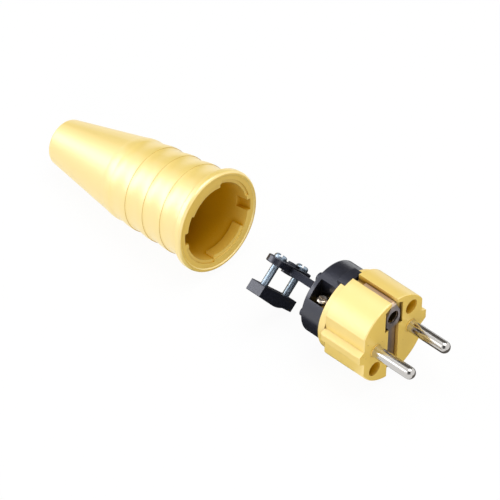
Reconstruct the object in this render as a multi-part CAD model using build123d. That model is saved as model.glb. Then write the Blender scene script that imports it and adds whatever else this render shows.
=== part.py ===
from build123d import *
from math import asin, atan2, cos, degrees, hypot, radians, sin, sqrt
import os

# Rubber power plug, opened for wiring: the insert lies in front and its rubber boot behind it.
# Millimetres. +X runs along the insert's axis towards the pin tips, +Y along the line of the two
# pins, +Z up. The origin is the midpoint between the pins, on the engagement face.

# Pins and earth hole, as the standard sheet for this plug gives them
PIN_DIAMETER = 4.8
PIN_SHANK_DIAMETER = 5.2
PIN_LENGTH = 19.0
PIN_PITCH = 19.0
EARTH_HOLE_RISE = 10.0
EARTH_HOLE_DIAMETER = 5.0

# Front body
BARREL_DIAMETER = 36.4
BARREL_DEPTH = 19.2
BARREL_EDGE = 0.5
FLAT_CUT = 2.4
RIB_STAND = 0.1
RIB_TOP = 3.0
RIB_OUTER_TOP = 1.9
RIB_OUTER_BOTTOM = -1.5
RIB_BOTTOM = -3.2
RIB_EDGE = 0.3
RIB_ROOT = 1.0
COLLAR_STEP = 1.6
COLLAR_DEPTH = 2.9
COLLAR_WALL = 2.4
SOCKET_DEPTH = 6.0
SCREW_HOLE_DIAMETER = 6.0
SCREW_SEAT_THICKNESS = 4.1
SCREW_HOLE_INSET = 4.9
SCREW_ANGLE = 44.4

# Earth bridge, folded from one strip
METAL_THICKNESS = 0.8
PLATE_WIDTH = 7.2
PLATE_HOLE_DIAMETER = 5.6
PLATE_TOP_RISE = 1.6
PLATE_BOTTOM = 7.2
PLATE_SHOULDER_WIDTH = 4.8
PLATE_SHOULDER_RISE = 3.6
PLATE_RECESS = 0.4
NECK_WIDTH = 2.8
STRIP_WIDTH = 5.2
STRIP_RECESS = 1.5
STRIP_TOP = 4.6
SIDE_CONTACT_SINK = 1.8
SIDE_CONTACT_LENGTH = 15.4
BEND_RADIUS = 0.9
STRIP_CLEARANCE = 0.2
POCKET_CLEARANCE = 1.0
POCKET_SHOULDER = 3.2
POCKET_BOTTOM = 5.4

# Carrier
DRUM_STEP = 1.5
DRUM_DEPTH = 10.1
REAR_WALL = 1.9
SPIGOT_CLEARANCE = 0.15
SPIGOT_LENGTH = 4.0
TAB_WIDTH = 9.4
TAB_STAND = 0.2
TAB_FRONT = 2.4
TAB_BACK = 1.9
TAB_CLEARANCE = 0.15
TAB_ROOT = 2.0
BOSS_DIAMETER = 4.6
WELL_CLEARANCE = 0.3
DRUM_EDGE = 0.6
NUB_REACH = 0.6
NUB_DIAMETER = 3.8
NUB_ANGLES = (177.0, 112.0)
WIRE_HOLE_DIAMETER = 3.4
EARTH_SHAFT_WIDTH = 5.8

# Terminals
TERMINAL_WIDTH = 6.0
TERMINAL_HEIGHT = 6.4
TERMINAL_LENGTH = 11.6
TERMINAL_WIRE_HOLE = 3.0
TERMINAL_WIRE_DEPTH = 6.0
PIN_COLLAR_DIAMETER = 7.0
PIN_BORE_CLEARANCE = 0.05
SOCKET_TUBE_DIAMETER = 6.0
SOCKET_TUBE_SLIT = 0.8
EARTH_BORE_DEPTH = 12.9
TERMINAL_SCREW_INSET = 8.6
TERMINAL_SCREW_RISE = 8.5
EARTH_SCREW_DROP = 4.2

# Screws
THREAD_DIAMETER = 3.0
THREAD_CLEARANCE = 0.03
HEAD_DIAMETER = 5.1
HEAD_HEIGHT = 1.7
HEAD_ROUND = 0.7
THREAD_END_CHAMFER = 0.4
TERMINAL_HEAD_DIAMETER = 4.6
TERMINAL_SCREW_LENGTH = 6.6
SLOT_WIDTH = 0.9
SLOT_DEPTH = 1.0
ASSEMBLY_SCREW_LENGTH = 10.0
EARTH_SCREW_LENGTH = 4.5
CLAMP_SLOT_TURN = -60.0

# Cable clamp, turned about the insert's axis
CLAMP_TURN = 48.0
ARM_WIDTH = 7.6
ARM_THICKNESS = 2.6
JAW_BEHIND_DRUM = 20.5
JAW_WIDTH = 7.6
JAW_LENGTH = 28.0
JAW_TOP = 2.0
JAW_BOTTOM = 0.8
JAW_RIDGE = 1.0
JAW_RIDGE_LENGTH = 9.0
JAW_RIDGE_WIDTH = 3.8
JAW_EDGE = 0.4
SADDLE_RISE = 0.9
SADDLE_LENGTH = 3.6
CLAMP_SCREW_PITCH = 17.9
CLAMP_SCREW_LENGTH = 13.0
JAW_HOLE_CLEARANCE = 0.15
BAR_DROP = 9.3
BAR_WIDTH = 6.6
BAR_LENGTH = 26.6
BAR_THICKNESS = 4.5
BAR_HUMP = 0.8
BAR_HUMP_LENGTH = 12.0
BAR_EDGE = 0.3

# Boot, measured back from its mouth
BOOT_BACK = 86.6
BOOT_LENGTH = 83.5
BOOT_SIDE = -1.7
BOOT_YAW = -0.9
BOOT_ROLL = -5.0
FLANGE_DIAMETER = 41.2
FLANGE_THICKNESS = 3.3
FLANGE_FRONT_ROUND = 1.2
FLANGE_BACK_ROUND = 0.6
FLANGE_RISE = 1.75
FACE_STEP_INSET = 1.7
FACE_STEP = 0.35
BAND_COUNT = 4
BAND_LENGTH = 9.8
BAND_CROWN_AT = 1.5
BAND_CROWN = 0.05
BAND_FOOT_AT = 5.6
BAND_FALL = 0.65
BAND_STEP = 0.15
SHOULDER_LENGTH = 4.5
SHOULDER_FALL = 0.72
SHOULDER_BULGE = 0.17
TAIL_DIAMETER = 18.6
TAIL_ROUND = 1.6
RING_WIDTH = 4.8
MOUTH_DEPTH = 12.0
MOUTH_TAPER = 0.9
BOOT_WALL = 3.0
TAIL_WALL = 2.0
KEY_ROOT = 0.8
OUTLET_DIAMETER = 10.4
OUTLET_LENGTH = 7.0
NOTCH_WIDTH = 4.8
NOTCH_DEPTH = 1.5
NOTCH_LENGTH = 6.0
PAD_RISE = 1.6
PAD_FRONT = 0.7
PAD_LENGTH = 4.4
PAD_START = 82.0
PAD_END = 148.0
LIP_SINK = 0.9
LIP_WIDTH = 1.2
LIP_START = 15.0
LIP_END = 82.0

# Places worked out from the sizes above
BARREL_RADIUS = BARREL_DIAMETER / 2
FLAT_SPAN = BARREL_DIAMETER - 2 * FLAT_CUT
RIB_REACH = BARREL_RADIUS + RIB_STAND
COLLAR_DIAMETER = BARREL_DIAMETER - 2 * COLLAR_STEP
SOCKET_DIAMETER = COLLAR_DIAMETER - 2 * COLLAR_WALL
DRUM_DIAMETER = COLLAR_DIAMETER - 2 * DRUM_STEP
TAB_REACH = COLLAR_DIAMETER / 2 + TAB_STAND
SCREW_SPREAD_Y = (BARREL_RADIUS - SCREW_HOLE_INSET) * cos(radians(SCREW_ANGLE))
SCREW_SPREAD_Z = (BARREL_RADIUS - SCREW_HOLE_INSET) * sin(radians(SCREW_ANGLE))
SEAM_X = -BARREL_DEPTH - COLLAR_DEPTH
SOCKET_FLOOR_X = SEAM_X + SOCKET_DEPTH
SCREW_SEAT_X = SOCKET_FLOOR_X + SCREW_SEAT_THICKNESS
DRUM_BACK_X = SEAM_X - DRUM_DEPTH
SPIGOT_FRONT_X = SEAM_X + SPIGOT_LENGTH
TERMINAL_FRONT_X = SPIGOT_FRONT_X
TERMINAL_BACK_X = TERMINAL_FRONT_X - TERMINAL_LENGTH
TERMINAL_SCREW_X = TERMINAL_FRONT_X - TERMINAL_SCREW_INSET
JAW_X = DRUM_BACK_X - JAW_BEHIND_DRUM
GROOVE_WIDTH = STRIP_WIDTH + 2 * STRIP_CLEARANCE
SLOT_TOP_WIDTH = NECK_WIDTH + 2 * STRIP_CLEARANCE
NECK_HEIGHT = BARREL_RADIUS - SIDE_CONTACT_SINK - METAL_THICKNESS
SLOT_SINK = SIDE_CONTACT_SINK + METAL_THICKNESS + STRIP_CLEARANCE
POCKET_TOP = BARREL_RADIUS - POCKET_SHOULDER
EARTH_Z = EARTH_HOLE_RISE
PLATE_TOP = EARTH_Z + PLATE_TOP_RISE
MOUTH_DIAMETER = FLANGE_DIAMETER - 2 * RING_WIDTH
FLOOR_Z = -sqrt(BARREL_RADIUS**2 - (GROOVE_WIDTH / 2) ** 2)
PIN_SIDES = {"left": -1, "right": 1}

os.makedirs("parts", exist_ok=True)


def across(x):
    """A plane across the insert's axis, its own x along +Y and its own y along +Z."""
    return Plane(origin=(x, 0, 0), x_dir=(0, 1, 0), z_dir=(1, 0, 0))


def prism(outline, back, front):
    """Extrude an outline drawn in Y and Z from one X to another."""
    return extrude(across(back) * outline, amount=front - back)


def rod(diameter, back, front, y=0, z=0):
    """A round bar along X."""
    return prism(Pos(y, z) * Circle(diameter / 2), back, front)


def block(y_size, z_size, back, front, y=0, z=0):
    """A square bar along X."""
    return prism(Pos(y, z) * Rectangle(y_size, z_size), back, front)


def pan_screw(head_diameter, head_height, length):
    """A slotted pan-head screw: its seat is at the origin, and its shank points down."""
    head = Pos(0, 0, head_height / 2) * Cylinder(head_diameter / 2, head_height)
    head = fillet(head.edges().group_by(Axis.Z)[-1], HEAD_ROUND)
    slot = Pos(0, 0, head_height - SLOT_DEPTH / 2) * Box(head_diameter, SLOT_WIDTH, SLOT_DEPTH)
    shank = Pos(0, 0, -length / 2) * Cylinder(THREAD_DIAMETER / 2, length)
    shank = chamfer(shank.edges().group_by(Axis.Z)[0], THREAD_END_CHAMFER)
    return head - slot + shank


def front_body():
    """Yellow moulding: barrel with two ribbed flats, collar, earth pocket, bores and screw holes."""
    barrel = prism(Circle(BARREL_RADIUS) & Rectangle(FLAT_SPAN, BARREL_DIAMETER), -BARREL_DEPTH, 0)
    barrel = fillet(barrel.faces().sort_by(Axis.X)[-1].edges(), BARREL_EDGE)
    body = barrel + rod(COLLAR_DIAMETER, SEAM_X, -BARREL_DEPTH)
    body -= rod(SOCKET_DIAMETER, SEAM_X, SOCKET_FLOOR_X)
    body -= earth_recess()
    for side in PIN_SIDES.values():
        body += rib(side)
        shank_bore = PIN_SHANK_DIAMETER + 2 * PIN_BORE_CLEARANCE
        body -= rod(shank_bore, SOCKET_FLOOR_X, 0, side * PIN_PITCH / 2)
        place = {"y": side * SCREW_SPREAD_Y, "z": side * SCREW_SPREAD_Z}
        body -= rod(SCREW_HOLE_DIAMETER, SCREW_SEAT_X, 0, **place)
        body -= rod(THREAD_DIAMETER + 2 * SPIGOT_CLEARANCE, SOCKET_FLOOR_X, SCREW_SEAT_X, **place)
        body -= rod(BOSS_DIAMETER + 2 * SPIGOT_CLEARANCE, SEAM_X, SOCKET_FLOOR_X, **place)
        gap_root = SOCKET_DIAMETER / 2 - TAB_ROOT
        gap_height = BARREL_RADIUS - gap_root
        gap_z = side * (gap_root + gap_height / 2)
        body -= block(TAB_WIDTH + 2 * TAB_CLEARANCE, gap_height, SEAM_X, -BARREL_DEPTH, 0, gap_z)
    return body


def rib(side):
    """The raised rib along the middle of one flat, sloped above and below."""
    root = FLAT_SPAN / 2 - RIB_ROOT
    corners = [
        (root, RIB_BOTTOM),
        (FLAT_SPAN / 2, RIB_BOTTOM),
        (RIB_REACH, RIB_OUTER_BOTTOM),
        (RIB_REACH, RIB_OUTER_TOP),
        (FLAT_SPAN / 2, RIB_TOP),
        (root, RIB_TOP),
    ]
    shape = prism(Polygon(*corners, align=None), -BARREL_DEPTH, 0)
    shape = chamfer(shape.faces().sort_by(Axis.Y)[-1].edges(), RIB_EDGE)
    return shape if side > 0 else mirror(shape, about=Plane.XZ)


def earth_recess():
    """Everything cut for the earth bridge: pocket and groove in the face, slots, socket bore."""
    half_pocket = PLATE_WIDTH / 2 + POCKET_CLEARANCE
    half_slot = SLOT_TOP_WIDTH / 2
    slot_floor = BARREL_RADIUS - SLOT_SINK
    pocket_rise = NECK_HEIGHT + POCKET_CLEARANCE - POCKET_TOP
    pocket = Polygon(
        (-half_pocket, POCKET_BOTTOM),
        (half_pocket, POCKET_BOTTOM),
        (half_pocket, POCKET_TOP),
        (half_slot, POCKET_TOP + pocket_rise),
        (-half_slot, POCKET_TOP + pocket_rise),
        (-half_pocket, POCKET_TOP),
        align=None,
    )
    recess = prism(pocket, -PLATE_RECESS - METAL_THICKNESS - STRIP_CLEARANCE, 0)
    groove_depth = STRIP_RECESS + METAL_THICKNESS + STRIP_CLEARANCE
    groove_length = BARREL_RADIUS + POCKET_BOTTOM
    groove_middle = POCKET_BOTTOM - groove_length / 2
    recess += block(GROOVE_WIDTH, groove_length, -groove_depth, 0, 0, groove_middle)
    recess += block(SLOT_TOP_WIDTH, SLOT_SINK, -BARREL_DEPTH, 0, 0, slot_floor + SLOT_SINK / 2)
    recess += block(GROOVE_WIDTH, SLOT_SINK, -BARREL_DEPTH, 0, 0, -slot_floor - SLOT_SINK / 2)
    tube_bore = SOCKET_TUBE_DIAMETER + STRIP_CLEARANCE
    return recess + rod(tube_bore, SOCKET_FLOOR_X, -PLATE_RECESS, 0, EARTH_Z)


def earth_bridge():
    """One strip folded into a side contact, the face plate, the lower strip and a side contact."""
    half_metal = METAL_THICKNESS / 2
    contact_z = BARREL_RADIUS - SIDE_CONTACT_SINK - half_metal
    plate_x = -PLATE_RECESS - half_metal
    strip_x = -STRIP_RECESS - half_metal
    jog = plate_x - strip_x
    path = FilletPolyline(
        (-SIDE_CONTACT_LENGTH, contact_z),
        (plate_x, contact_z),
        (plate_x, STRIP_TOP + jog / 2),
        (strip_x, STRIP_TOP - jog / 2),
        (strip_x, -contact_z),
        (-SIDE_CONTACT_LENGTH, -contact_z),
        radius=BEND_RADIUS,
    )
    folded = extrude(Plane.XZ * trace(path, METAL_THICKNESS), amount=PLATE_WIDTH / 2, both=True)
    half_plate = PLATE_WIDTH / 2
    half_neck = NECK_WIDTH / 2
    half_strip = STRIP_WIDTH / 2
    right_edge = [
        (half_strip, -BARREL_RADIUS),
        (half_strip, POCKET_BOTTOM + STRIP_CLEARANCE),
        (half_plate, PLATE_BOTTOM),
        (half_plate, PLATE_TOP),
        (PLATE_SHOULDER_WIDTH / 2, EARTH_Z + PLATE_SHOULDER_RISE),
        (half_neck, NECK_HEIGHT),
        (half_neck, BARREL_RADIUS),
    ]
    left_edge = [(-y, z) for y, z in reversed(right_edge)]
    outline = Polygon(*right_edge, *left_edge, align=None)
    bridge = folded & prism(outline, -BARREL_DEPTH, 0)
    return bridge - rod(PLATE_HOLE_DIAMETER, -PLATE_RECESS - 2 * METAL_THICKNESS, 0, 0, EARTH_Z)


def earth_socket():
    """Turned brass: a slit tube for the earth pin in front, a terminal for its wire behind."""
    tube_front = -PLATE_RECESS - METAL_THICKNESS
    socket = rod(SOCKET_TUBE_DIAMETER, TERMINAL_BACK_X, tube_front, 0, EARTH_Z)
    bore_back = tube_front - EARTH_BORE_DEPTH
    socket -= rod(EARTH_HOLE_DIAMETER, bore_back, tube_front, 0, EARTH_Z)
    socket -= block(SOCKET_TUBE_SLIT, 2 * SOCKET_TUBE_DIAMETER, bore_back, tube_front, 0, EARTH_Z)
    wire_front = TERMINAL_BACK_X + TERMINAL_WIRE_DEPTH
    socket -= rod(TERMINAL_WIRE_HOLE, TERMINAL_BACK_X, wire_front, 0, EARTH_Z)
    thread = Cylinder(THREAD_DIAMETER / 2 + THREAD_CLEARANCE, SOCKET_TUBE_DIAMETER)
    return socket - Pos(TERMINAL_SCREW_X, 0, EARTH_Z - SOCKET_TUBE_DIAMETER / 2) * thread


def pin(side):
    """A turned pin with its collar and the terminal block behind it."""
    y = -PIN_PITCH / 2
    tip_x = PIN_LENGTH - PIN_DIAMETER / 2
    shape = rod(PIN_DIAMETER, 0, tip_x, y) + rod(PIN_SHANK_DIAMETER, TERMINAL_FRONT_X, 0, y)
    shape += Pos(tip_x, y, 0) * Sphere(PIN_DIAMETER / 2)
    shape += rod(PIN_COLLAR_DIAMETER, TERMINAL_FRONT_X, SOCKET_FLOOR_X, y)
    shape += block(TERMINAL_WIDTH, TERMINAL_HEIGHT, TERMINAL_BACK_X, TERMINAL_FRONT_X, y)
    wire_front = TERMINAL_BACK_X + TERMINAL_WIRE_DEPTH
    shape -= rod(TERMINAL_WIRE_HOLE, TERMINAL_BACK_X, wire_front, y)
    thread = Cylinder(THREAD_DIAMETER / 2 + THREAD_CLEARANCE, TERMINAL_HEIGHT / 2)
    shape -= Pos(TERMINAL_SCREW_X, y, TERMINAL_HEIGHT / 4) * thread
    return turned_to(side) * shape


def turned_to(side):
    """The insert is the same after half a turn: the left side's pieces serve the right side too."""
    return Rot(0, 0, 0) if side < 0 else Rot(180, 0, 0)


def terminal_screw(side):
    """The screw that holds a wire in a pin's terminal, backed out as for wiring."""
    screw = pan_screw(TERMINAL_HEAD_DIAMETER, HEAD_HEIGHT, TERMINAL_SCREW_LENGTH)
    seat = Pos(TERMINAL_SCREW_X, -PIN_PITCH / 2, TERMINAL_SCREW_RISE - HEAD_HEIGHT)
    return turned_to(side) * seat * screw


def earth_terminal_screw():
    """The earth wire's screw, driven upwards from the well below it."""
    screw = pan_screw(TERMINAL_HEAD_DIAMETER, HEAD_HEIGHT, EARTH_SCREW_LENGTH)
    return Pos(TERMINAL_SCREW_X, 0, EARTH_Z - EARTH_SCREW_DROP) * Rot(180, 0, 0) * screw


def assembly_screw(side):
    """A long screw deep in the face's hole: it pulls the carrier against the front body."""
    screw = pan_screw(HEAD_DIAMETER, HEAD_HEIGHT, ASSEMBLY_SCREW_LENGTH)
    seat = Pos(SCREW_SEAT_X, side * SCREW_SPREAD_Y, side * SCREW_SPREAD_Z)
    return seat * Rot(0, 90, 0) * screw


def clamp_place(drop=0):
    """The clamp's own frame: its x along +X, its y along the bar and its z up the screws."""
    turn = radians(CLAMP_TURN)
    up = Vector(0, sin(turn), cos(turn))
    return Plane(origin=Vector(JAW_X, 0, 0) - up * drop, x_dir=(1, 0, 0), z_dir=up).location


def screw_places():
    """Where the two clamp screws stand along the bar: the left one first."""
    return {"left": -CLAMP_SCREW_PITCH / 2, "right": CLAMP_SCREW_PITCH / 2}


def jaw_and_arm():
    """The upper jaw with a ridge below and a saddle above the root of its flat arm."""
    plan = SlotOverall(JAW_LENGTH, JAW_WIDTH, rotation=90)
    jaw = extrude(Pos(0, 0, -JAW_BOTTOM) * plan, amount=JAW_TOP + JAW_BOTTOM)
    jaw = fillet(jaw.faces().filter_by(Axis.Z).edges(), JAW_EDGE)
    ridge_plan = SlotOverall(JAW_RIDGE_LENGTH, JAW_RIDGE_WIDTH, rotation=90)
    root_x = (JAW_WIDTH - JAW_RIDGE_WIDTH) / 2 - JAW_EDGE
    jaw += extrude(Pos(root_x, 0, -JAW_BOTTOM - JAW_RIDGE) * ridge_plan, amount=JAW_RIDGE)
    saddle = Box(JAW_RIDGE_WIDTH, SADDLE_LENGTH, SADDLE_RISE)
    jaw += Pos(root_x, 0, JAW_TOP + SADDLE_RISE / 2) * saddle
    jaw += Pos(JAW_BEHIND_DRUM / 2, 0, 0) * Box(JAW_BEHIND_DRUM, ARM_WIDTH, ARM_THICKNESS)
    hole = Cylinder(THREAD_DIAMETER / 2 + JAW_HOLE_CLEARANCE, JAW_WIDTH)
    for along in screw_places().values():
        jaw -= Pos(0, along, 0) * hole
    return clamp_place() * jaw


def carrier():
    """Black moulding: drum with its wells, spigot, tabs, screw bosses, arm and upper jaw."""
    drum = rod(DRUM_DIAMETER, DRUM_BACK_X, SEAM_X)
    drum = fillet(drum.edges().sort_by(Axis.X)[0], DRUM_EDGE)
    shape = drum + rod(SOCKET_DIAMETER - 2 * SPIGOT_CLEARANCE, SEAM_X, SPIGOT_FRONT_X)
    tab_ring = Circle(TAB_REACH) - Circle(SOCKET_DIAMETER / 2 - TAB_ROOT)
    tabs = tab_ring & Rectangle(TAB_WIDTH, 2 * TAB_REACH)
    shape += prism(tabs, SEAM_X - TAB_BACK, SEAM_X + TAB_FRONT)
    for side in PIN_SIDES.values():
        place = {"y": side * SCREW_SPREAD_Y, "z": side * SCREW_SPREAD_Z}
        shape += rod(BOSS_DIAMETER, SEAM_X, SPIGOT_FRONT_X, **place)
        shape -= rod(THREAD_DIAMETER + 2 * THREAD_CLEARANCE, SEAM_X, SPIGOT_FRONT_X, **place)
        for angle in NUB_ANGLES:
            nub_y = -side * (DRUM_DIAMETER - NUB_DIAMETER) / 2 * cos(radians(angle))
            nub_z = -side * (DRUM_DIAMETER - NUB_DIAMETER) / 2 * sin(radians(angle))
            shape += rod(NUB_DIAMETER, DRUM_BACK_X - NUB_REACH, DRUM_BACK_X + NUB_REACH, nub_y, nub_z)
        shape -= turned_to(side) * pin_well()
    shape -= earth_well()
    return shape + jaw_and_arm()


def pin_well():
    """The space in the carrier for the left pin's terminal, open to the front and above."""
    y = -PIN_PITCH / 2
    width = TERMINAL_WIDTH + 2 * WELL_CLEARANCE
    floor = -TERMINAL_HEIGHT / 2 - WELL_CLEARANCE
    back = DRUM_BACK_X + REAR_WALL
    well = block(width, -2 * floor, back, SPIGOT_FRONT_X, y)
    well += block(width, DRUM_DIAMETER / 2 - floor, back, SEAM_X, y, (DRUM_DIAMETER / 2 + floor) / 2)
    return well + rod(WIRE_HOLE_DIAMETER, DRUM_BACK_X, back, y)


def earth_well():
    """The space for the earth socket's terminal, with a shaft to its screw from below."""
    back = DRUM_BACK_X + REAR_WALL
    well = rod(SOCKET_TUBE_DIAMETER + 2 * WELL_CLEARANCE, back, SPIGOT_FRONT_X, 0, EARTH_Z)
    shaft_height = EARTH_Z + DRUM_DIAMETER / 2
    shaft_front = SEAM_X - TAB_BACK - WELL_CLEARANCE
    well += block(EARTH_SHAFT_WIDTH, shaft_height, back, shaft_front, 0, EARTH_Z - shaft_height / 2)
    return well + rod(WIRE_HOLE_DIAMETER, DRUM_BACK_X, back, 0, EARTH_Z)


def clamp_bar():
    """The loose lower bar: square ends, a hump under its middle and two threaded holes."""
    half_length = BAR_LENGTH / 2
    bottom = -BAR_THICKNESS
    half_hump = BAR_HUMP_LENGTH / 2
    side_view = Polyline(
        (-half_hump, bottom),
        (-half_length, bottom),
        (-half_length, 0),
        (half_length, 0),
        (half_length, bottom),
        (half_hump, bottom),
    )
    side_view += ThreePointArc((half_hump, bottom), (0, bottom - BAR_HUMP), (-half_hump, bottom))
    bar = extrude(Plane.YZ * make_face(side_view), amount=BAR_WIDTH / 2, both=True)
    bar = fillet(bar.edges().filter_by(Axis.X), BAR_EDGE)
    thread = Cylinder(THREAD_DIAMETER / 2 + THREAD_CLEARANCE, BAR_LENGTH)
    for along in screw_places().values():
        bar -= Pos(0, along, 0) * thread
    return clamp_place(BAR_DROP) * bar


def clamp_screw(along):
    """One of the two long screws that draw the lower bar up to the jaw."""
    screw = pan_screw(HEAD_DIAMETER, HEAD_HEIGHT, CLAMP_SCREW_LENGTH)
    return clamp_place(-JAW_TOP) * Pos(0, along, 0) * Rot(0, 0, CLAMP_SLOT_TURN) * screw


def sector(inner, outer, start, end):
    """A ring segment between two radii and two angles in degrees, counted from +Y towards +Z."""
    far = 2 * outer
    corners = [(0, 0)]
    for share in (0, 0.5, 1):
        angle = radians(start + (end - start) * share)
        corners.append((far * cos(angle), far * sin(angle)))
    return (Circle(outer) - Circle(inner)) & Polygon(*corners, align=None)


def boot_section():
    """The boot's half section: distance behind the mouth along -X, radius along +Z."""
    mouth = MOUTH_DIAMETER / 2
    flange = FLANGE_DIAMETER / 2
    tail = TAIL_DIAMETER / 2
    edges = [
        Polyline(
            (-FACE_STEP, mouth),
            (-FACE_STEP, flange - FACE_STEP_INSET),
            (0, flange - FACE_STEP_INSET + FACE_STEP),
            (0, flange),
            (-FLANGE_THICKNESS, flange),
            (-FLANGE_THICKNESS, flange - FLANGE_RISE),
        )
    ]
    x = -FLANGE_THICKNESS
    radius = flange - FLANGE_RISE
    for band in range(BAND_COUNT):
        crown = (x - BAND_CROWN_AT, radius + BAND_CROWN)
        foot = (x - BAND_FOOT_AT, radius - BAND_FALL + BAND_CROWN)
        end = (x - BAND_LENGTH, radius - BAND_FALL)
        edges.append(Spline((x, radius), crown, foot, end))
        x, radius = end
        if band < BAND_COUNT - 1:
            edges.append(Line((x, radius), (x, radius + BAND_STEP)))
            radius += BAND_STEP
    cone_start = (x - SHOULDER_LENGTH, radius - SHOULDER_FALL)
    shoulder_middle = (x - SHOULDER_LENGTH / 2, radius - SHOULDER_FALL / 2 + SHOULDER_BULGE)
    edges.append(ThreePointArc((x, radius), shoulder_middle, cone_start))
    edges.append(Line(cone_start, (-BOOT_LENGTH, tail)))
    inside = [
        (-BOOT_LENGTH, tail),
        (-BOOT_LENGTH, OUTLET_DIAMETER / 2),
        (-BOOT_LENGTH + OUTLET_LENGTH, OUTLET_DIAMETER / 2),
        (-BOOT_LENGTH + OUTLET_LENGTH, tail - TAIL_WALL),
        (cone_start[0], cone_start[1] - BOOT_WALL),
        (-MOUTH_DEPTH, mouth - MOUTH_TAPER),
        (-FACE_STEP, mouth),
    ]
    edges.append(Polyline(*inside))
    face = make_face(Curve() + edges)
    corners = {
        FLANGE_FRONT_ROUND: (0, flange),
        FLANGE_BACK_ROUND: (-FLANGE_THICKNESS, flange),
        TAIL_ROUND: (-BOOT_LENGTH, tail),
    }
    for rounding, corner in corners.items():
        face = fillet(face.vertices().sort_by_distance((*corner, 0))[0], rounding)
    return Plane.XZ * face


def boot_place():
    """Lay the boot on the insert's floor: its flange and its tail both touch it."""
    flange_x = -FLANGE_THICKNESS + FLANGE_BACK_ROUND
    flange_radius = FLANGE_DIAMETER / 2 - FLANGE_BACK_ROUND
    tail_x = -BOOT_LENGTH + TAIL_ROUND
    tail_radius = TAIL_DIAMETER / 2 - TAIL_ROUND
    reach = hypot(flange_x - tail_x, flange_radius - tail_radius)
    slope = atan2(flange_radius - tail_radius, flange_x - tail_x)
    tilt = slope + asin((FLANGE_BACK_ROUND - TAIL_ROUND) / reach)
    lowest = flange_x * sin(tilt) - flange_radius * cos(tilt) - FLANGE_BACK_ROUND
    lean = Rot(0, 0, BOOT_YAW) * Rot(0, -degrees(tilt), 0)
    return Pos(-BOOT_BACK, BOOT_SIDE, FLOOR_Z - lowest) * lean * Rot(BOOT_ROLL, 0, 0)


def boot():
    """Rubber cover: flange, four bands and a cone, with keys moulded inside its mouth."""
    mouth = MOUTH_DIAMETER / 2
    shape = revolve(boot_section(), Axis.X)
    for half_turn in (0, 180):
        pad = sector(mouth - PAD_RISE, mouth + KEY_ROOT, PAD_START + half_turn, PAD_END + half_turn)
        shape += prism(pad, -PAD_FRONT - PAD_LENGTH, -PAD_FRONT)
        lip = sector(mouth - KEY_ROOT, mouth + LIP_WIDTH, LIP_START + half_turn, LIP_END + half_turn)
        shape -= prism(lip, -LIP_SINK, 0)
    notch_span = 2 * (mouth + NOTCH_DEPTH)
    notch = Circle(mouth + NOTCH_DEPTH) & Rectangle(notch_span, NOTCH_WIDTH)
    shape -= prism(notch, -NOTCH_LENGTH, 0)
    return boot_place() * shape


pieces = {
    "boot": boot(),
    "front_body": front_body(),
    "carrier": carrier(),
    "clamp_bar": clamp_bar(),
    "earth_bridge": earth_bridge(),
    "earth_socket": earth_socket(),
    "earth_terminal_screw": earth_terminal_screw(),
}
for side_name, side in PIN_SIDES.items():
    pieces[f"pin_{side_name}"] = pin(side)
    pieces[f"terminal_screw_{side_name}"] = terminal_screw(side)
    pieces[f"assembly_screw_{side_name}"] = assembly_screw(side)
for side_name, along in screw_places().items():
    pieces[f"clamp_screw_{side_name}"] = clamp_screw(along)

for name, shape in pieces.items():
    export_step(shape, f"parts/{name}.step")
    print(name, round(shape.volume, 1), "mm3")
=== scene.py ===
# %% [markdown]
# A rubber power plug, opened for wiring. The insert lies in front: a pale yellow front body with
# two round pins, a black carrier behind it and a small cable clamp on an arm. The tapered rubber
# boot lies behind it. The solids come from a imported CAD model, in metres, with the origin between
# the pins on the engagement face. This file dresses them and sets up light and camera.

# %% Load the solids
import math

import bpy
from mathutils import Matrix, Vector


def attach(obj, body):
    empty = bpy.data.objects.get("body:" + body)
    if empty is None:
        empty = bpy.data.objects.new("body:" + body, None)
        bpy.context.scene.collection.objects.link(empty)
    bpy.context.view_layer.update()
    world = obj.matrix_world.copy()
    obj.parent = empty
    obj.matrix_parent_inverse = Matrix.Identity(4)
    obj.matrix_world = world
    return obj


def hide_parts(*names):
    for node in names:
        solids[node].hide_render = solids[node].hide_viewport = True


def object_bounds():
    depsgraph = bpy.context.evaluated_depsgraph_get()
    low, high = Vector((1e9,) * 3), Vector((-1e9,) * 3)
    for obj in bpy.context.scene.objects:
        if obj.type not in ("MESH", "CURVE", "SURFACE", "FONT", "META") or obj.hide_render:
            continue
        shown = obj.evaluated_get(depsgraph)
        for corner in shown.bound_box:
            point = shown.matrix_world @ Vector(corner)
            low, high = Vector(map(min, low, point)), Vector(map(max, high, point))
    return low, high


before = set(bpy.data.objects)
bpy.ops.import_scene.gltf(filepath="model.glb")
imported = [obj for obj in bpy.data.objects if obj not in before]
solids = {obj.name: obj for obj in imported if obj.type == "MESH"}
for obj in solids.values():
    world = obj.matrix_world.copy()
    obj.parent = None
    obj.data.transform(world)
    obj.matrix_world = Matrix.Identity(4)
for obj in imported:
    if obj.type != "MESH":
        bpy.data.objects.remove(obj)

size_before = [list(corner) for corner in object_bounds()]
print("solids:", sorted(solids))
print("size before:", size_before)

# %% [markdown]
# Colours are chosen as they look on a screen, from 0 to 255, but a shader wants linear light. One
# small helper turns one into the other, two more make a Principled material and set its sockets by
# name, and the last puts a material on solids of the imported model.


# %% Colour and material helpers
def screen_colour(red, green, blue):
    """A screen colour as linear red, green, blue and alpha."""
    linear = []
    for level in (red, green, blue):
        share = level / 255
        linear.append(share / 12.92 if share <= 0.04045 else ((share + 0.055) / 1.055) ** 2.4)
    return (*linear, 1.0)


def set_sockets(node, values):
    """Set inputs of a node by name."""
    for name, value in values.items():
        node.inputs[name].default_value = value


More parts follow.
